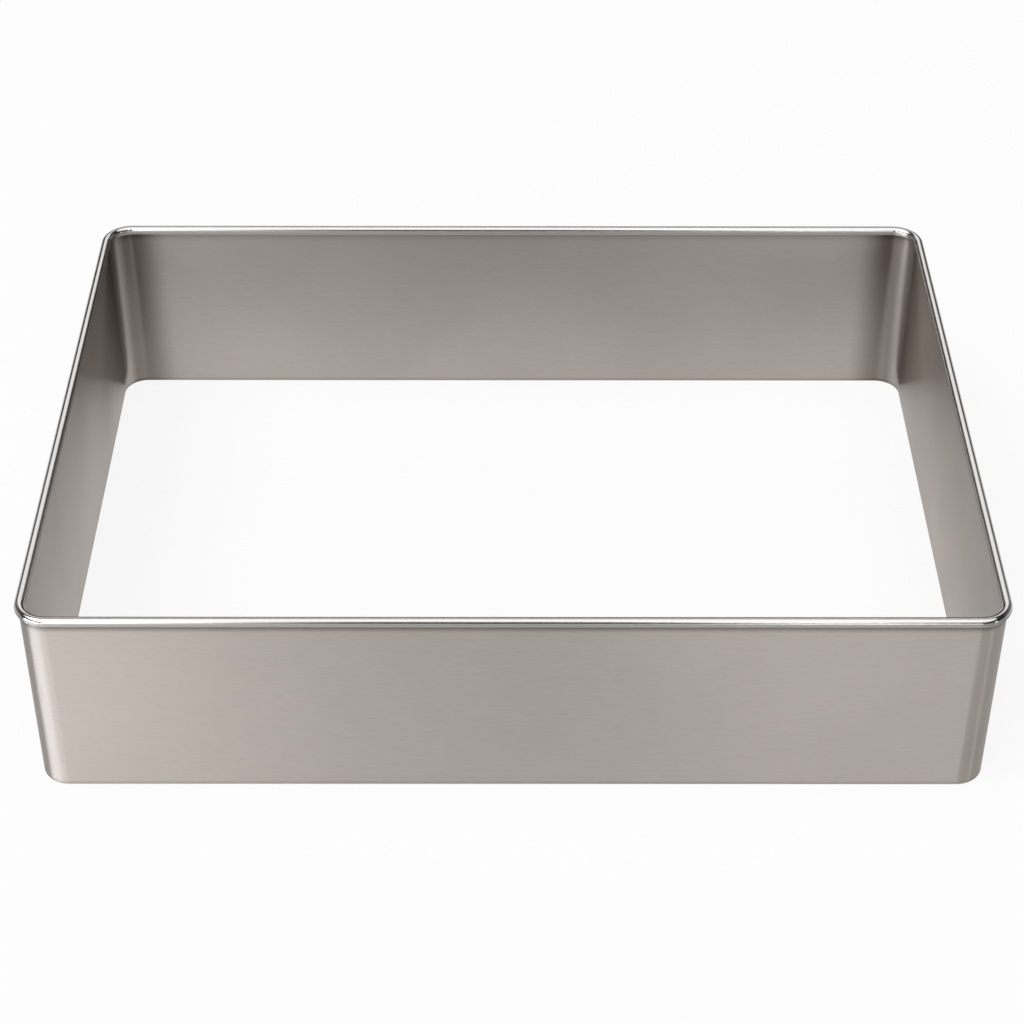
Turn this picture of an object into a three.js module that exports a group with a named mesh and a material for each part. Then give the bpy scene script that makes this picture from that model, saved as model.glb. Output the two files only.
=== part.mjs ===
// Rectangular cake ring: an open frame of stainless sheet with a wired, rolled rim along its top edge.
// Millimetres, +Z up. The origin is at the middle of the frame, on the surface that it stands on.
// X runs along the long side and Y along the short side.

import * as THREE from "three";

// Driving dimensions
const INNER_LENGTH = 214; // clear space between the short walls
const INNER_WIDTH = 157; // clear space between the long walls
const HEIGHT = 50; // from the cut bottom edge to the top of the rim
const SHEET = 0.6; // thickness of the strip
const CORNER_RADIUS = 6; // inside radius of the four upright bends
const WIRE_DIAMETER = 0.9; // stiffening wire in the rim
const WIRE_CLEARANCE = 0.1; // between the wire and the rolled sheet, all round
const JOG_RADIUS = 0.6; // inside radius of the bend that leads from the wall into the roll
const ROLL_GAP = 0.15; // slit between the cut end of the roll and the wall
const EDGE_BREAK = 0.1; // bevel that takes the burr off the bottom edge
const SEAM_WIDTH = 1; // width of the weld between the ends of the strip
const WIRE_END_GAP = 1; // space left between the two ends of the wire

// Facets
const CORNER_STEPS = 8; // in each upright bend
const JOG_STEPS = 5;
const ROLL_STEPS = 6; // in each quarter of the roll
const WIRE_SIDES = 16;

// Sizes that follow. Across the section, d is the distance outward from the inside face of the wall.
const midSheet = SHEET / 2;
const boreRadius = WIRE_DIAMETER / 2 + WIRE_CLEARANCE;
const rollRadius = boreRadius + midSheet; // to the middle of the sheet
const rimRadius = boreRadius + SHEET;
const jogMidRadius = JOG_RADIUS + midSheet;

// The rim is centred over the wall, so the wall first jogs inward and then curls up, over and down outside.
// The jog and the roll are two arcs that touch, so their centres are the sum of their radii apart.
const rimCentre = { d: midSheet, z: HEIGHT - rimRadius };
const centreDistance = jogMidRadius + rollRadius;
const jogDrop = Math.sqrt(centreDistance ** 2 - jogMidRadius ** 2);
const jogCentre = { d: midSheet - jogMidRadius, z: rimCentre.z - jogDrop };
const jogTurn = Math.acos(jogMidRadius / centreDistance);

// The roll stops where the corner of its cut end comes within ROLL_GAP of the jog's outer face.
const endReach = jogMidRadius + midSheet + ROLL_GAP;
const endCosine = (centreDistance ** 2 + rimRadius ** 2 - endReach ** 2) / (2 * centreDistance * rimRadius);
const rollStart = jogTurn + Math.PI;
const rollEnd = rollStart + Math.acos(endCosine) - 2 * Math.PI;

// Points of an arc in the section, both ends included.
function arc(centre, radius, from, to, steps) {
  return Array.from({ length: steps + 1 }, (_, i) => {
    const angle = from + ((to - from) * i) / steps;
    return new THREE.Vector2(
      centre.d + radius * Math.cos(angle),
      centre.z + radius * Math.sin(angle),
    );
  });
}

// The roll on one face of the sheet, without its first point, with facets that meet at the rim's sides and top.
function roll(radius) {
  const stops = [rollStart, Math.PI, Math.PI / 2, 0, rollEnd];
  return stops.slice(1).flatMap((stop, i) => arc(rimCentre, radius, stops[i], stop, ROLL_STEPS).slice(1));
}

// Section of the strip: up its outside face and round in the roll to its cut end, then back along the other face.
function stripSection() {
  const insideFace = [
    ...arc(jogCentre, JOG_RADIUS, 0, jogTurn, JOG_STEPS),
    ...roll(rimRadius),
  ];
  const outsideFace = [
    ...arc(jogCentre, JOG_RADIUS + SHEET, 0, jogTurn, JOG_STEPS),
    ...roll(boreRadius),
  ];
  const bottomEdge = [
    new THREE.Vector2(0, EDGE_BREAK),
    new THREE.Vector2(EDGE_BREAK, 0),
    new THREE.Vector2(SHEET - EDGE_BREAK, 0),
    new THREE.Vector2(SHEET, EDGE_BREAK),
  ];
  return [...outsideFace, ...insideFace.reverse(), ...bottomEdge];
}

// Section of the wire, in the middle of the roll.
function wireSection() {
  return arc(rimCentre, WIRE_DIAMETER / 2, 0, 2 * Math.PI, WIRE_SIDES).slice(1);
}

// A station of the way round the frame: the middle of the bend that it belongs to and the way that it faces.
// A point of a section at d lies CORNER_RADIUS + d from that middle.
const bendX = INNER_LENGTH / 2 - CORNER_RADIUS;
const bendY = INNER_WIDTH / 2 - CORNER_RADIUS;

// The stations of one upright bend, turning a quarter from the angle that it starts at.
function bend(x, y, from) {
  return Array.from({ length: CORNER_STEPS + 1 }, (_, i) => {
    return { x, y, angle: from + ((Math.PI / 2) * i) / CORNER_STEPS };
  });
}

const frontLeft = bend(-bendX, -bendY, Math.PI);
const frontRight = bend(bendX, -bendY, 1.5 * Math.PI);
const backRight = bend(bendX, bendY, 0);
const backLeft = bend(-bendX, bendY, Math.PI / 2);

// Stations in the middle of the left and right walls, y away from the middle.
const onLeftWall = (y) => ({ x: -bendX, y, angle: Math.PI });
const onRightWall = (y) => ({ x: bendX, y, angle: 0 });

// Unit vector of an angle, exact where it faces along an axis.
function facing(angle) {
  const tidy = (value) => (Math.abs(value) < 1e-12 ? 0 : value);
  return { x: tidy(Math.cos(angle)), y: tidy(Math.sin(angle)) };
}

// Carries a closed section (counter-clockwise in d and z) along the stations and caps both ends.
function sweep(section, stations) {
  const positions = stations.flatMap(({ x, y, angle }) => {
    const way = facing(angle);
    return section.flatMap((point) => {
      const reach = CORNER_RADIUS + point.x;
      return [x + reach * way.x, y + reach * way.y, point.y];
    });
  });
  const count = section.length;
  const last = (stations.length - 1) * count;
  const faces = [];
  for (let row = 0; row < last; row += count) {
    for (let i = 0; i < count; i += 1) {
      const next = (i + 1) % count;
      faces.push(row + i, row + count + next, row + next);
      faces.push(row + i, row + count + i, row + count + next);
    }
  }
  for (const [a, b, c] of THREE.ShapeUtils.triangulateShape(section, [])) {
    faces.push(a, b, c);
    faces.push(last + a, last + c, last + b);
  }
  const geometry = new THREE.BufferGeometry();
  geometry.setAttribute("position", new THREE.Float32BufferAttribute(positions, 3));
  geometry.setIndex(faces);
  geometry.computeVertexNormals();
  return geometry;
}

function piece(name, geometry, color, roughness) {
  const material = new THREE.MeshStandardMaterial({ color, roughness, metalness: 1 });
  const mesh = new THREE.Mesh(geometry, material);
  mesh.name = name;
  return mesh;
}

// The strip goes once round the frame, from one edge of the weld to the other.
function wallBand() {
  const stations = [
    onLeftWall(-SEAM_WIDTH / 2),
    ...frontLeft,
    ...frontRight,
    ...backRight,
    ...backLeft,
    onLeftWall(SEAM_WIDTH / 2),
  ];
  return piece("wall_band", sweep(stripSection(), stations), 0xb3aca6, 0.35);
}

// The weld is ground to the strip's own section and fills the space between its ends.
function seamWeld() {
  const stations = [onLeftWall(SEAM_WIDTH / 2), onLeftWall(-SEAM_WIDTH / 2)];
  return piece("seam_weld", sweep(stripSection(), stations), 0xaaa49f, 0.4);
}

// The wire's ends meet on the wall across from the weld, so that the two joints don't share one spot.
function rimWire() {
  const stations = [
    onRightWall(WIRE_END_GAP / 2),
    ...backRight,
    ...backLeft,
    ...frontLeft,
    ...frontRight,
    onRightWall(-WIRE_END_GAP / 2),
  ];
  return piece("rim_wire", sweep(wireSection(), stations), 0x9c9a98, 0.3);
}

const cakeRing = new THREE.Group();
cakeRing.name = "rectangular_cake_ring";
cakeRing.add(wallBand(), rimWire(), seamWeld());

export default cakeRing;
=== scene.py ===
"""Looks of a rectangular cake ring: brushed stainless walls, a burnished rolled rim and a ground weld.

Metres, +Z up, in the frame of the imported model. The photographed side of the ring faces -Y.
"""

import math

import bpy
import numpy as np
from mathutils import Matrix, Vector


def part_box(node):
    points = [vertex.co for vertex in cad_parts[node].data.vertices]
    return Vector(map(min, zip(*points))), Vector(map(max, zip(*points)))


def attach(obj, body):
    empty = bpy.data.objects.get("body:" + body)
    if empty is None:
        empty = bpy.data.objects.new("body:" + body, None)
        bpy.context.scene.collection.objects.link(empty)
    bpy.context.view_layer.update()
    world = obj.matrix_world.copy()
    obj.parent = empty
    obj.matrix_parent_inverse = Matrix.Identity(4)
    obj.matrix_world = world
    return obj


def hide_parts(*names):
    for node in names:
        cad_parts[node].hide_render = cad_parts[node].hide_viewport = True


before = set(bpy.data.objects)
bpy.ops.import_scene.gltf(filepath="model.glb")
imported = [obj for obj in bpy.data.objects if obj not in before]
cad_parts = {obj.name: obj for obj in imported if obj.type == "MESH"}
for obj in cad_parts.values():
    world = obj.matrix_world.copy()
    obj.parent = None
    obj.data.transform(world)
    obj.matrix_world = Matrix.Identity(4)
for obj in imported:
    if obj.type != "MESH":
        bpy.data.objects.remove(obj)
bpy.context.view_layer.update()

# Sizes of the strip, in metres
MM = 0.001
SHEET = 0.6 * MM
CORNER_RADIUS = 6.0 * MM
WIRE_DIAMETER = 0.9 * MM
WIRE_CLEARANCE = 0.1 * MM
JOG_RADIUS = 0.6 * MM
ROLL_GAP = 0.15 * MM
EDGE_BREAK = 0.1 * MM
CUT_END_ROUND = 0.05 * MM
WIRE_END_GAP = 1.0 * MM

# Sizes that follow. Across the section, d is the distance outward from the inside face of the wall.
MID_SHEET = SHEET / 2
BORE_RADIUS = WIRE_DIAMETER / 2 + WIRE_CLEARANCE
ROLL_RADIUS = BORE_RADIUS + MID_SHEET
RIM_RADIUS = BORE_RADIUS + SHEET
RIM_REACH = MID_SHEET + RIM_RADIUS
JOG_MID_RADIUS = JOG_RADIUS + MID_SHEET
CENTRE_DISTANCE = JOG_MID_RADIUS + ROLL_RADIUS

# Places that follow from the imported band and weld
_, band_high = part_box("wall_band")
_, weld_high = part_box("seam_weld")
HEIGHT = band_high.z
HALF_WELD = weld_high.y
INSIDE_X = band_high.x - RIM_REACH
INSIDE_Y = band_high.y - RIM_REACH
BEND_X = INSIDE_X - CORNER_RADIUS
BEND_Y = INSIDE_Y - CORNER_RADIUS
RIM_CENTRE = np.array([MID_SHEET, HEIGHT - RIM_RADIUS])
JOG_CENTRE = np.array([
    MID_SHEET - JOG_MID_RADIUS,
    HEIGHT - RIM_RADIUS - math.sqrt(CENTRE_DISTANCE**2 - JOG_MID_RADIUS**2),
])

# Fineness of the meshes
QUARTER = math.pi / 2
BEND_STEPS = 24
JOG_STEPS = 10
QUARTER_STEPS = 20
ROUND_STEPS = 4
WIRE_SIDES = 24
SUPPORT = 0.25 * MM
SHORTEST_WALL = 4 * SUPPORT
SAME_POINT = 1e-9
SHARP_ANGLE = math.radians(40)

# Finishes of the strip's faces, in the order of its material slots
BRUSHED, BURNISHED, SHEARED = range(3)


def arc(centre, radius, start, stop, steps, finish):
    """Points of an arc with a finish: centre plus radius times (cosine, sine) of evenly spaced angles."""
    angle = np.linspace(start, stop, steps + 1)
    points = centre + radius * np.stack([np.cos(angle), np.sin(angle)], axis=1)
    return points, np.full(len(points), finish)


def line(start, stop, finish):
    """Two points in a straight stretch, a support distance from its ends, which keep its shading flat."""
    start = np.asarray(start)
    stop = np.asarray(stop)
    way = (stop - start) / np.linalg.norm(stop - start)
    return np.stack([start + way * SUPPORT, stop - way * SUPPORT]), np.full(2, finish)


def strip_section():
    """Closed outline of the strip in d and z, counter-clockwise, and the finish of the face after each point.

    Up the outside face, along the jog's outside arc, round the bore of the roll to its cut end, back over the
    outside of the rim, down the jog's inside arc and the inside face, and along the rounded bottom edge.
    """
    jog_turn = math.acos(JOG_MID_RADIUS / CENTRE_DISTANCE)
    roll_start = jog_turn + math.pi
    end_reach = JOG_MID_RADIUS + MID_SHEET + ROLL_GAP
    end_cosine = (CENTRE_DISTANCE**2 + RIM_RADIUS**2 - end_reach**2) / (2 * CENTRE_DISTANCE * RIM_RADIUS)
    roll_end = roll_start + math.acos(end_cosine) - 2 * math.pi + CUT_END_ROUND / RIM_RADIUS
    end_way = np.array([math.cos(roll_end), math.sin(roll_end)])
    roll_steps = round(QUARTER_STEPS * (roll_start - roll_end) / QUARTER)
    outer_round = np.array([SHEET - EDGE_BREAK, EDGE_BREAK])
    inner_round = np.array([EDGE_BREAK, EDGE_BREAK])
    bore_corner = RIM_CENTRE + (BORE_RADIUS + CUT_END_ROUND) * end_way
    rim_corner = RIM_CENTRE + (RIM_RADIUS - CUT_END_ROUND) * end_way
    stretches = [
        arc(outer_round, EDGE_BREAK, -QUARTER, 0, ROUND_STEPS, SHEARED),
        line((SHEET, EDGE_BREAK), (SHEET, JOG_CENTRE[1]), BRUSHED),
        arc(JOG_CENTRE, JOG_RADIUS + SHEET, 0, jog_turn, JOG_STEPS, BRUSHED),
        arc(RIM_CENTRE, BORE_RADIUS, roll_start, roll_end, roll_steps, BURNISHED),
        arc(bore_corner, CUT_END_ROUND, roll_end - math.pi, roll_end - QUARTER, ROUND_STEPS, SHEARED),
        arc(rim_corner, CUT_END_ROUND, roll_end - QUARTER, roll_end, ROUND_STEPS, SHEARED),
        arc(RIM_CENTRE, RIM_RADIUS, roll_end, roll_start, roll_steps, BURNISHED),
        arc(JOG_CENTRE, JOG_RADIUS, jog_turn, 0, JOG_STEPS, BRUSHED),
        line((0, JOG_CENTRE[1]), (0, EDGE_BREAK), BRUSHED),
        arc(inner_round, EDGE_BREAK, math.pi, math.pi + QUARTER, ROUND_STEPS, SHEARED),
    ]
    points = np.concatenate([stretch[0] for stretch in stretches])
    finish = np.concatenate([stretch[1] for stretch in stretches])
    apart = np.linalg.norm(points - np.roll(points, 1, axis=0), axis=1) > SAME_POINT
    return points[apart], finish[apart]


def wire_section():
    """Circle of the wire's radius in the middle of the roll, counter-clockwise."""
    points, finish = arc(RIM_CENTRE, WIRE_DIAMETER / 2, 0, 2 * math.pi, WIRE_SIDES, BRUSHED)
    return points[1:], finish[1:]


def distance_round(outline):
    """Distance round a closed section from its first point to each point and back to the first."""
    closed = np.concatenate([outline, outline[:1]])
    return np.concatenate([[0.0], np.cumsum(np.linalg.norm(np.diff(closed, axis=0), axis=1))])


def bend(side_x, side_y, start):
    """Stations of one upright bend: the bend's middle and the facing angle, a quarter turn from its start."""
    angle = np.linspace(start, start + QUARTER, BEND_STEPS + 1)
    middle_x = np.full_like(angle, side_x * BEND_X)
    middle_y = np.full_like(angle, side_y * BEND_Y)
    return np.stack([middle_x, middle_y, angle], axis=1)


def with_supports(stations):
    """The stations with one more a support distance from each end of every straight wall."""
    rows = [stations[0]]
    for here, after in zip(stations[:-1], stations[1:]):
        gap = after[:2] - here[:2]
        length = np.linalg.norm(gap)
        if length > SHORTEST_WALL:
            way = np.append(gap / length * SUPPORT, 0)
            rows += [here + way, np.append(after[:2] - way[:2], here[2])]
        rows.append(after)
    return np.array(rows)


FRONT_LEFT = bend(-1, -1, math.pi)
FRONT_RIGHT = bend(1, -1, math.pi + QUARTER)
BACK_RIGHT = bend(1, 1, 0.0)
BACK_LEFT = bend(-1, 1, QUARTER)


def on_left_wall(y):
    """One station of the left wall, y away from its middle."""
    return np.array([[-BEND_X, y, math.pi]])


def on_right_wall(y):
    """One station of the right wall, y away from its middle."""
    return np.array([[BEND_X, y, 0.0]])


def carry(name, outline, finish, stations, start_u=0.0):
    """Piece made of a closed section carried along the stations, capped at both ends.

    A section point (d, z) at a station lies at the bend's middle plus (corner radius + d) times the facing
    vector, at height z. The UV map "grain" holds the distance along the sheet's middle and round the section.
    """
    middle = stations[:, None, :2]
    way = np.stack([np.cos(stations[:, 2]), np.sin(stations[:, 2])], axis=1)[:, None, :]
    reach = (CORNER_RADIUS + outline[:, 0])[None, :, None]
    plan = middle + reach * way
    height = np.broadcast_to(outline[:, 1][None, :, None], plan.shape[:2] + (1,))
    points = np.concatenate([plan, height], axis=2).reshape(-1, 3)

    rows, count = len(stations), len(outline)
    row = np.arange(rows - 1)[:, None] * count
    here = np.arange(count)[None, :]
    after = (here + 1) % count
    quads = np.stack([row + here, row + count + here, row + count + after, row + after], axis=2)
    first_cap = np.arange(count)
    last_cap = first_cap[::-1] + (rows - 1) * count
    faces = quads.reshape(-1, 4).tolist() + [first_cap.tolist(), last_cap.tolist()]
    mesh = bpy.data.meshes.new(name)
    mesh.from_pydata(points.tolist(), [], faces)

    sheet_middle = (middle + (CORNER_RADIUS + MID_SHEET) * way)[:, 0, :]
    steps = np.linalg.norm(np.diff(sheet_middle, axis=0), axis=1)
    along = start_u + np.concatenate([[0.0], np.cumsum(steps)])
    around = distance_round(outline)
    u = np.stack([along[:-1], along[1:], along[1:], along[:-1]], axis=1)[:, None, :]
    v = np.stack([around[:-1], around[:-1], around[1:], around[1:]], axis=1)[None, :, :]
    shape = (rows - 1, count, 4)
    walls = np.stack([np.broadcast_to(u, shape), np.broadcast_to(v, shape)], axis=3).reshape(-1, 2)
    grain = mesh.uv_layers.new(name="grain")
    grain_uv = np.concatenate([walls, outline, outline[::-1]])
    grain.data.foreach_set("uv", grain_uv.astype(np.float32).ravel())

    slots = np.concatenate([np.tile(finish, rows - 1), [SHEARED, SHEARED]]).astype(np.int32)
    mesh.polygons.foreach_set("material_index", slots)
    mesh.polygons.foreach_set("use_smooth", np.ones(len(slots), bool))
    mesh.set_sharp_from_angle(angle=SHARP_ANGLE)
    mesh.update()
    piece = bpy.data.objects.new(name, mesh)
    bpy.context.scene.collection.objects.link(piece)
    return piece


# Shared effects

# Noise of the belt lines: how much longer and wider than one line it is drawn, where it is cut from the
# noise, and the range of the noise that is spread from 0 to 1
BELT_NOISE = {
    "Lines": (1.0, 1.0, 0.0, (0.25, 0.75)),
    "Bands": (4.0, 4.0, 7.0, (0.25, 0.75)),
    "Breaks": (3.0, 30.0, 13.0, (0.35, 0.65)),
}
BELT_DETAIL = 2.0
BELT_ROUGHNESS = 0.6

# Clouds of the handling marks: how many to a metre, and the range of the noise that is spread from 0 to 1
CLOUD_SCALE = 30.0
CLOUD_DETAIL = 4.0
CLOUD_RANGE = (0.38, 0.68)


def add_group(name, vector, numbers, outputs):
    """A new shader node group with a vector input, numbers with defaults, float outputs and its end nodes."""
    group = bpy.data.node_groups.new(name, "ShaderNodeTree")
    group.interface.new_socket(vector, in_out="INPUT", socket_type="NodeSocketVector")
    for label, value in numbers.items():
        socket = group.interface.new_socket(label, in_out="INPUT", socket_type="NodeSocketFloat")
        socket.default_value = value
    for label in outputs:
        group.interface.new_socket(label, in_out="OUTPUT", socket_type="NodeSocketFloat")
    return group, group.nodes.new("NodeGroupInput"), group.nodes.new("NodeGroupOutput")


def math_node(tree, operation, first, second=None, third=None):
    """A Math node whose inputs are sockets or numbers. Gives its output socket."""
    node = tree.nodes.new("ShaderNodeMath")
    node.operation = operation
    for socket, value in zip(node.inputs, (first, second, third)):
        if value is None:
            continue
        if isinstance(value, (int, float)):
            socket.default_value = value
        else:
            tree.links.new(value, socket)
    return node.outputs[0]


def spread(tree, value, low, high, out_low=0.0, out_high=1.0):
    """A smooth Map Range from low..high to out_low..out_high. Gives its output socket."""
    node = tree.nodes.new("ShaderNodeMapRange")
    node.interpolation_type = "SMOOTHSTEP"
    for label, number in (("From Min", low), ("From Max", high), ("To Min", out_low), ("To Max", out_high)):
        node.inputs[label].default_value = number
    tree.links.new(value, node.inputs["Value"])
    return node.outputs["Result"]


def brush_lines_group():
    """Lines left by a brushing belt: noise drawn out along u and tight across v.

    Lines is the fine grain, Bands the broader and fainter strokes, Breaks where the lines fade out.
    """
    sizes = {"Length": 12 * MM, "Width": 0.2 * MM}
    group, start, end = add_group("brush_lines", "Grain", sizes, BELT_NOISE)
    split = group.nodes.new("ShaderNodeSeparateXYZ")
    group.links.new(start.outputs["Grain"], split.inputs[0])
    for label, (longer, wider, cut, noise_range) in BELT_NOISE.items():
        along = math_node(group, "MULTIPLY", start.outputs["Length"], longer)
        across = math_node(group, "MULTIPLY", start.outputs["Width"], wider)
        join = group.nodes.new("ShaderNodeCombineXYZ")
        group.links.new(math_node(group, "DIVIDE", split.outputs["X"], along), join.inputs["X"])
        group.links.new(math_node(group, "DIVIDE", split.outputs["Y"], across), join.inputs["Y"])
        join.inputs["Z"].default_value = cut
        noise = group.nodes.new("ShaderNodeTexNoise")
        noise.inputs["Scale"].default_value = 1.0
        noise.inputs["Detail"].default_value = BELT_DETAIL
        noise.inputs["Roughness"].default_value = BELT_ROUGHNESS
        group.links.new(join.outputs[0], noise.inputs["Vector"])
        group.links.new(spread(group, noise.outputs["Fac"], *noise_range), end.inputs[label])
    return group


def handling_group():
    """Faint cloudy marks from handling and wiping, from soft noise on the piece's own coordinates."""
    group, start, end = add_group("handling", "Place", {"Size": CLOUD_SCALE}, ["Clouds"])
    clouds = group.nodes.new("ShaderNodeTexNoise")
    clouds.inputs["Detail"].default_value = CLOUD_DETAIL
    group.links.new(start.outputs["Place"], clouds.inputs["Vector"])
    group.links.new(start.outputs["Size"], clouds.inputs["Scale"])
    group.links.new(spread(group, clouds.outputs["Fac"], *CLOUD_RANGE), end.inputs["Clouds"])
    return group


BRUSH_LINES = brush_lines_group()
HANDLING = handling_group()

# Places round the strip's section, which tell its finishes apart. Those past the top of the rim are inside.

strip, strip_finish = strip_section()


def place_round(d, z):
    """Distance round the strip's section of its point nearest to (d, z)."""
    nearest = np.argmin(np.linalg.norm(strip - (d, z), axis=1))
    return float(distance_round(strip)[nearest])


RIM_TOP = place_round(RIM_CENTRE[0], HEIGHT)
FOOT_OUTSIDE = place_round(SHEET, EDGE_BREAK)
FOOT_INSIDE = place_round(0, EDGE_BREAK)
CREASE_OUTSIDE = place_round(MID_SHEET, JOG_CENTRE[1] + JOG_RADIUS + MID_SHEET)
CREASE_INSIDE = place_round(-MID_SHEET, JOG_CENTRE[1] + JOG_RADIUS)

# The rim is burnished on its crown and brushed on its flanks, which are darkened with painted shade
CROWN_SMOOTH_REACH = math.radians(60) * RIM_RADIUS
CROWN_ROUGH_REACH = math.radians(78) * RIM_RADIUS
CROWN_ROUGHNESS = 0.14
FLANK_PAINTED_SHADE = 0.38

# How much less rough the inside of the walls is
INSIDE_POLISH = 0.07

# Dark colour of the handling marks and the painted shade, and bands of painted shade at the feet, in the
# creases under the rim and fading down the inside from the rim: the place round the section, the reach to
# both sides and the amount
MARK_AND_SHADE_COLOUR = (0.092, 0.073, 0.058)
PAINTED_SHADE_BANDS = {
    "foot_outside": (FOOT_OUTSIDE, 1.2 * MM, 0.3),
    "crease_outside": (CREASE_OUTSIDE, 2.6 * MM, 0.85),
    "crease_inside": (CREASE_INSIDE, 3.0 * MM, 0.2),
    "upper_shade_inside": (CREASE_INSIDE, 45 * MM, 0.28),
    "foot_inside": (FOOT_INSIDE, 1.2 * MM, 0.3),
}

# Painted shade inside the ends of the long walls, in the corners, where it fades away from the short walls
# and round the bends
BEND_PAINTED_SHADE = 0.55
BEND_FADE_ALONG = (6 * MM, 15 * MM)
BEND_FADE_ROUND = (0.6 * MM, 2.2 * MM)

# Shares of the fine lines and the broad bands in the tone, share of the handling marks, depth of the lines
LINE_SHARE = 0.7
BAND_SHARE = 0.3
CLOUD_SHARE = 0.02
LINE_DEPTH = 0.01 * MM

# The gloss is drawn out across the lines, a quarter of a full turn from the tangent along them
GLOSS_TURN = 0.25

# Sockets of a Mix node that is set to colours
MIX_SHARE, MIX_FIRST, MIX_SECOND = 0, 6, 7
MIX_RESULT = 2

# Tints
WALL_TINT = (0.507, 0.458, 0.422)
WELD_TINT = (0.5, 0.452, 0.416)
# The rim's tint is lighter than the wall's, a painted highlight on the crown of the same sheet; the flanks
# are darkened back with painted shade.
RIM_TINT = (0.66, 0.638, 0.62)
EDGE_TINT = (0.4, 0.37, 0.34)
WIRE_TINT = (0.55, 0.54, 0.52)

# Materials


def place_group(tree, group, source, **values):
    """The group in a material's tree, its first input fed from a socket and its others set to values."""
    node = tree.nodes.new("ShaderNodeGroup")
    node.node_tree = group
    tree.links.new(source, node.inputs[0])
    for label, value in values.items():
        node.inputs[label].default_value = value
    return node


def blend_colours(tree, share, first, second):
    """Mix of two colours, sockets or values, by a share socket. Gives the colour socket."""
    node = tree.nodes.new("ShaderNodeMix")
    node.data_type = "RGBA"
    tree.links.new(share, node.inputs[MIX_SHARE])
    for socket, colour in ((node.inputs[MIX_FIRST], first), (node.inputs[MIX_SECOND], second)):
        if isinstance(colour, bpy.types.NodeSocket):
            tree.links.new(colour, socket)
        else:
            socket.default_value = (*colour, 1.0)
    return node.outputs[MIX_RESULT]


def distance_from(tree, around, middle):
    """Distance of a point from the middle of a band, both measured round the section."""
    return math_node(tree, "ABSOLUTE", math_node(tree, "SUBTRACT", around, middle))


def burnish_crown_shade_flanks(tree, around, roughness, marks_and_shade):
    """The rim is smooth near its top, and from there to the rough reach it turns brushed and takes painted
    shade.
    """
    flank = spread(tree, distance_from(tree, around, RIM_TOP), CROWN_SMOOTH_REACH, CROWN_ROUGH_REACH)
    extra = math_node(tree, "SUBTRACT", roughness, CROWN_ROUGHNESS)
    roughness = math_node(tree, "MULTIPLY_ADD", extra, flank, CROWN_ROUGHNESS)
    # Painted shade on the rim's flanks, darker away from the crown.
    marks_and_shade = math_node(tree, "MULTIPLY_ADD", flank, FLANK_PAINTED_SHADE, marks_and_shade)
    return roughness, marks_and_shade


def polish_and_shade_walls(tree, around, roughness, marks_and_shade):
    """The inside is brushed finer, and painted shade lies in bands and inside the ends of the long walls.

    A band is strongest at its place and fades to nothing at its reach. In the ends of the long walls the
    painted shade fades with the distance from the short wall, and round the bend with that from the long
    wall.
    """
    inside = math_node(tree, "GREATER_THAN", around, RIM_TOP)
    roughness = math_node(tree, "MULTIPLY_ADD", inside, -INSIDE_POLISH, roughness)
    # Each band darkens the colour with painted shade: at the feet, in the creases under the rim and down the
    # inside from the rim.
    for middle, reach, shade_amount in PAINTED_SHADE_BANDS.values():
        band = spread(tree, distance_from(tree, around, middle), 0.0, reach, shade_amount, 0.0)
        if middle > RIM_TOP:
            band = math_node(tree, "MULTIPLY", band, inside)
        marks_and_shade = math_node(tree, "ADD", marks_and_shade, band)
    # Painted shade in the inside corners, strongest at the ends of the long walls.
    place = tree.nodes.new("ShaderNodeTexCoord")
    plan = tree.nodes.new("ShaderNodeSeparateXYZ")
    tree.links.new(place.outputs["Object"], plan.inputs[0])
    from_short = math_node(tree, "SUBTRACT", INSIDE_X, math_node(tree, "ABSOLUTE", plan.outputs["X"]))
    from_long = math_node(tree, "SUBTRACT", INSIDE_Y, math_node(tree, "ABSOLUTE", plan.outputs["Y"]))
    wall_end = spread(tree, from_short, *BEND_FADE_ALONG, BEND_PAINTED_SHADE, 0.0)
    bend_share = spread(tree, from_long, *BEND_FADE_ROUND, 1.0, 0.0)
    wall_end = math_node(tree, "MULTIPLY", wall_end, bend_share)
    wall_end = math_node(tree, "MULTIPLY", wall_end, inside)
    return roughness, math_node(tree, "ADD", marks_and_shade, wall_end)


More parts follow.
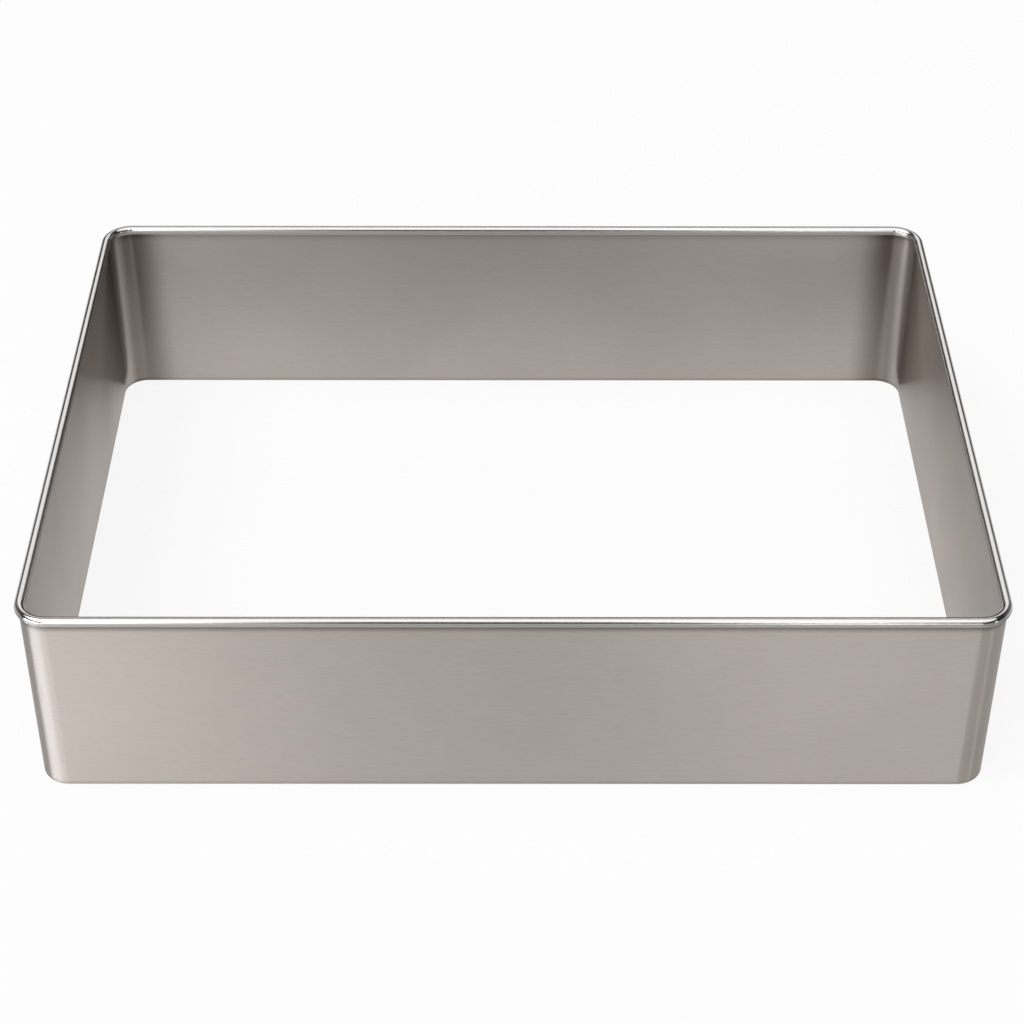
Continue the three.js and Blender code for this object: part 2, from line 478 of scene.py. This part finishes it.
def steel(
    name, tint, contrast, rough, line_length, line_width, bump, anisotropy, grazing=1.0, finish=None
):
    """Stainless steel with belt lines, which vary its tint by the contrast and its roughness in a range.

    Grazing is the share of the reflection that is left towards grazing angles. The finish is a function that
    changes the roughness and the painted shade from place to place. The handling marks and the painted shade
    give the share of their dark colour.
    """
    material = bpy.data.materials.new(name)
    material.use_nodes = True
    tree = material.node_tree
    shader = tree.nodes["Principled BSDF"]
    shader.inputs["Metallic"].default_value = 1.0
    shader.inputs["Anisotropic"].default_value = anisotropy
    shader.inputs["Anisotropic Rotation"].default_value = GLOSS_TURN
    shader.inputs["Specular Tint"].default_value = (grazing, grazing, grazing, 1.0)
    grain = tree.nodes.new("ShaderNodeUVMap")
    grain.uv_map = "grain"
    split = tree.nodes.new("ShaderNodeSeparateXYZ")
    tree.links.new(grain.outputs["UV"], split.inputs[0])
    place = tree.nodes.new("ShaderNodeTexCoord")
    lines = place_group(tree, BRUSH_LINES, grain.outputs["UV"], Length=line_length, Width=line_width)
    marks = place_group(tree, HANDLING, place.outputs["Object"])
    tone = math_node(tree, "MULTIPLY", lines.outputs["Bands"], BAND_SHARE)
    tone = math_node(tree, "MULTIPLY_ADD", lines.outputs["Lines"], LINE_SHARE, tone)
    least, most = rough
    roughness = math_node(tree, "MULTIPLY_ADD", tone, most - least, least)
    roughness = math_node(tree, "MULTIPLY_ADD", marks.outputs["Clouds"], CLOUD_SHARE, roughness)
    marks_and_shade = math_node(tree, "MULTIPLY", marks.outputs["Clouds"], CLOUD_SHARE)
    if finish:
        roughness, marks_and_shade = finish(tree, split.outputs["Y"], roughness, marks_and_shade)
    dark = [value * (1 - contrast) for value in tint]
    light = [value * (1 + contrast) for value in tint]
    colour = blend_colours(tree, tone, dark, light)
    # The colour is darkened towards the dark colour by the handling marks and the painted shade.
    tree.links.new(blend_colours(tree, marks_and_shade, colour, MARK_AND_SHADE_COLOUR), shader.inputs["Base Color"])
    tree.links.new(roughness, shader.inputs["Roughness"])
    height = math_node(tree, "MULTIPLY", lines.outputs["Lines"], lines.outputs["Breaks"])
    ridges = tree.nodes.new("ShaderNodeBump")
    ridges.inputs["Strength"].default_value = bump
    ridges.inputs["Distance"].default_value = LINE_DEPTH
    tree.links.new(height, ridges.inputs["Height"])
    tree.links.new(ridges.outputs["Normal"], shader.inputs["Normal"])
    tangent = tree.nodes.new("ShaderNodeTangent")
    tangent.direction_type = "UV_MAP"
    tangent.uv_map = "grain"
    tree.links.new(tangent.outputs["Tangent"], shader.inputs["Tangent"])
    return material


brushed_wall = steel(
    "brushed_wall", WALL_TINT, contrast=0.06, rough=(0.4, 0.44), line_length=2.5 * MM, line_width=0.2 * MM,
    bump=0.05, anisotropy=1.0, finish=polish_and_shade_walls,
)
burnished_rim = steel(
    "burnished_rim", RIM_TINT, contrast=0.03, rough=(0.42, 0.46), line_length=6 * MM, line_width=0.15 * MM,
    bump=0.02, anisotropy=1.0, grazing=0.75, finish=burnish_crown_shade_flanks,
)
sheared_edge = steel(
    "sheared_edge", EDGE_TINT, contrast=0.12, rough=(0.4, 0.55), line_length=1.5 * MM, line_width=0.08 * MM,
    bump=0.3, anisotropy=0.3,
)
drawn_wire = steel(
    "drawn_wire", WIRE_TINT, contrast=0.05, rough=(0.22, 0.3), line_length=30 * MM, line_width=0.08 * MM,
    bump=0.1, anisotropy=0.4,
)
ground_weld = steel(
    "ground_weld", WELD_TINT, contrast=0.07, rough=(0.4, 0.44), line_length=2.2 * MM, line_width=0.2 * MM,
    bump=0.07, anisotropy=1.0, finish=polish_and_shade_walls,
)

# Pieces


def finish_piece(piece, node, materials):
    """Gives a piece its materials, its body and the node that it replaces."""
    for material in materials:
        piece.data.materials.append(material)
    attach(piece, "root")
    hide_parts(node)


band_stations = with_supports(np.concatenate([
    on_left_wall(-HALF_WELD), FRONT_LEFT, FRONT_RIGHT, BACK_RIGHT, BACK_LEFT, on_left_wall(HALF_WELD),
]))
weld_stations = np.concatenate([on_left_wall(HALF_WELD), on_left_wall(-HALF_WELD)])
wire_stations = with_supports(np.concatenate([
    on_right_wall(WIRE_END_GAP / 2),
    BACK_RIGHT, BACK_LEFT, FRONT_LEFT, FRONT_RIGHT,
    on_right_wall(-WIRE_END_GAP / 2),
]))

band = carry("brushed_band", strip, strip_finish, band_stations)
finish_piece(band, "wall_band", [brushed_wall, burnished_rim, sheared_edge])

weld = carry("ground_seam", strip, strip_finish, weld_stations, start_u=-2 * HALF_WELD)
finish_piece(weld, "seam_weld", [ground_weld, burnished_rim, sheared_edge])

wire = carry("stiffening_wire", *wire_section(), wire_stations)
finish_piece(wire, "rim_wire", [drawn_wire, drawn_wire, sheared_edge])

# Floor

FLOOR_SIZE = 12.0
FLOOR_COLOUR = (0.9, 0.9, 0.9, 1.0)
FLOOR_GLOW = 0.88
PAPER_ROUGHNESS = 0.9
PAPER_GLOSS = 0.1


def pale_floor():
    """A flat square sheet that the ring stands on. Where it is looked at or mirrored, most of it is white."""
    half = FLOOR_SIZE / 2
    outline = [(-half, -half, 0), (half, -half, 0), (half, half, 0), (-half, half, 0)]
    mesh = bpy.data.meshes.new("pale_floor")
    mesh.from_pydata(outline, [], [(0, 1, 2, 3)])
    floor = bpy.data.objects.new("pale_floor", mesh)
    bpy.context.scene.collection.objects.link(floor)
    material = bpy.data.materials.new("pale_paper")
    material.use_nodes = True
    tree = material.node_tree
    paper = tree.nodes["Principled BSDF"]
    paper.inputs["Base Color"].default_value = FLOOR_COLOUR
    paper.inputs["Roughness"].default_value = PAPER_ROUGHNESS
    paper.inputs["Specular IOR Level"].default_value = PAPER_GLOSS
    glow = tree.nodes.new("ShaderNodeEmission")
    ray = tree.nodes.new("ShaderNodeLightPath")
    seen = math_node(tree, "MAXIMUM", ray.outputs["Is Camera Ray"], ray.outputs["Is Glossy Ray"])
    seen = math_node(tree, "MAXIMUM", seen, ray.outputs["Is Transmission Ray"])
    mix = tree.nodes.new("ShaderNodeMixShader")
    tree.links.new(math_node(tree, "MULTIPLY", seen, FLOOR_GLOW), mix.inputs[0])
    tree.links.new(paper.outputs["BSDF"], mix.inputs[1])
    tree.links.new(glow.outputs["Emission"], mix.inputs[2])
    tree.links.new(mix.outputs[0], tree.nodes["Material Output"].inputs["Surface"])
    mesh.materials.append(material)


pale_floor()

# Light: a dark tent with a bright ceiling and white cloth panels round the ring, one of them cooler. Angles
# are in degrees. Azimuth 0 is the camera's side (-Y), and azimuth grows towards +X.

CLOTH_COLOUR = (1.0, 1.0, 1.0)
COOL_COLOUR = (0.93, 1.0, 1.09)
COOL_PANEL = "left_lamp"
TENT_DARK = 0.03
CEILING_ELEVATION = 80
CEILING_REACH = (32, 37)
CEILING_LIGHT = 1.45
# Azimuth from and to, elevation from and to, soft edge of each, strength
TENT_PANELS = {
    "front_left": ((-15, -10.5), (-5, 40), 6, 5, 3.7),
    "mid_left": ((-10.5, -7), (22, 42), 3.5, 4, 1.5),
    "left_low": ((-72, -11), (-8, 10), 4.5, 4, 6.8),
    "left_lamp": ((-72, -31), (-6, 9), 6, 4, 7.5),
    "high_left": ((-105, -20), (46, 69), 8, 5, 3.3),
    "front_right": ((6, 11.5), (12, 54), 4.5, 4.5, 0.6),
    "high_right": ((8, 15), (46, 60), 5, 4, 3.0),
    "right_low": ((6, 10.5), (-6, 8), 1.5, 4.5, 9.0),
    "bend_strip": ((50, 56), (-6, 18), 3, 4, 2.5),
    "rear_left": ((-190, -148), (28, 46), 8, 4, 1.25),
    "rear_right": ((150, 190), (28, 46), 8, 4, 1.15),
    "left_fill": ((-140, -90), (0, 32), 8, 5, 0.18),
    "right_fill": ((90, 140), (0, 32), 8, 5, 0.18),
}


def light_tent():
    """World light by direction: the sum of the dark cloth, a round ceiling and panels with soft edges.

    A panel is its strength times a smooth rise and fall in azimuth times the same in elevation. The ceiling
    is a smooth step of the cosine of the angle from its middle.
    """
    world = bpy.data.worlds.new("light_tent")
    bpy.context.scene.world = world
    world.use_nodes = True
    tree = world.node_tree
    place = tree.nodes.new("ShaderNodeTexCoord")
    split = tree.nodes.new("ShaderNodeSeparateXYZ")
    tree.links.new(place.outputs["Generated"], split.inputs[0])
    x, y, z = split.outputs
    azimuth = math_node(tree, "ARCTAN2", x, math_node(tree, "MULTIPLY", y, -1.0))
    elevation = math_node(tree, "ARCSINE", z)

    def within(angle, span, edge):
        """1 inside the span of an angle and 0 outside it, with soft edges."""
        low, high = span
        rise = spread(tree, angle, math.radians(low - edge), math.radians(low + edge))
        fall = spread(tree, angle, math.radians(high - edge), math.radians(high + edge), 1.0, 0.0)
        return math_node(tree, "MULTIPLY", rise, fall)

    middle = math.radians(CEILING_ELEVATION)
    towards = math_node(tree, "MULTIPLY", y, -math.cos(middle))
    towards = math_node(tree, "MULTIPLY_ADD", z, math.sin(middle), towards)
    inner, outer = (math.cos(math.radians(reach)) for reach in CEILING_REACH)
    strength = spread(tree, towards, outer, inner, TENT_DARK, TENT_DARK + CEILING_LIGHT)
    panels = {}
    for name, (azimuths, elevations, azimuth_edge, elevation_edge, light) in TENT_PANELS.items():
        across = within(azimuth, azimuths, azimuth_edge)
        upright = within(elevation, elevations, elevation_edge)
        panels[name] = math_node(tree, "MULTIPLY", across, upright)
        strength = math_node(tree, "MULTIPLY_ADD", panels[name], light, strength)
    colour = blend_colours(tree, panels[COOL_PANEL], CLOTH_COLOUR, COOL_COLOUR)
    tree.links.new(strength, tree.nodes["Background"].inputs["Strength"])
    tree.links.new(colour, tree.nodes["Background"].inputs["Color"])


light_tent()

# Camera, fitted to the outlines of the ring in a square picture

CAMERA_PLACE = np.array([-1.495, -469.025, 392.77]) * MM
CAMERA_PITCH = math.radians(38.775)
CAMERA_YAW = math.radians(-0.164)
CAMERA_ROLL = math.radians(0.149)
CAMERA_LENS = 84.845
CAMERA_SENSOR = 36.0


def photo_camera():
    """The camera at its place, rolled about its own axis, pitched down and then turned about the upright."""
    data = bpy.data.cameras.new("photo_camera")
    data.lens = CAMERA_LENS
    data.sensor_width = CAMERA_SENSOR
    camera = bpy.data.objects.new("photo_camera", data)
    bpy.context.scene.collection.objects.link(camera)
    turn = (
        Matrix.Rotation(CAMERA_YAW, 4, "Z")
        @ Matrix.Rotation(QUARTER - CAMERA_PITCH, 4, "X")
        @ Matrix.Rotation(CAMERA_ROLL, 4, "Z")
    )
    camera.matrix_world = Matrix.Translation(CAMERA_PLACE) @ turn
    bpy.context.scene.camera = camera


photo_camera()
bpy.context.scene.view_settings.view_transform = "Standard"
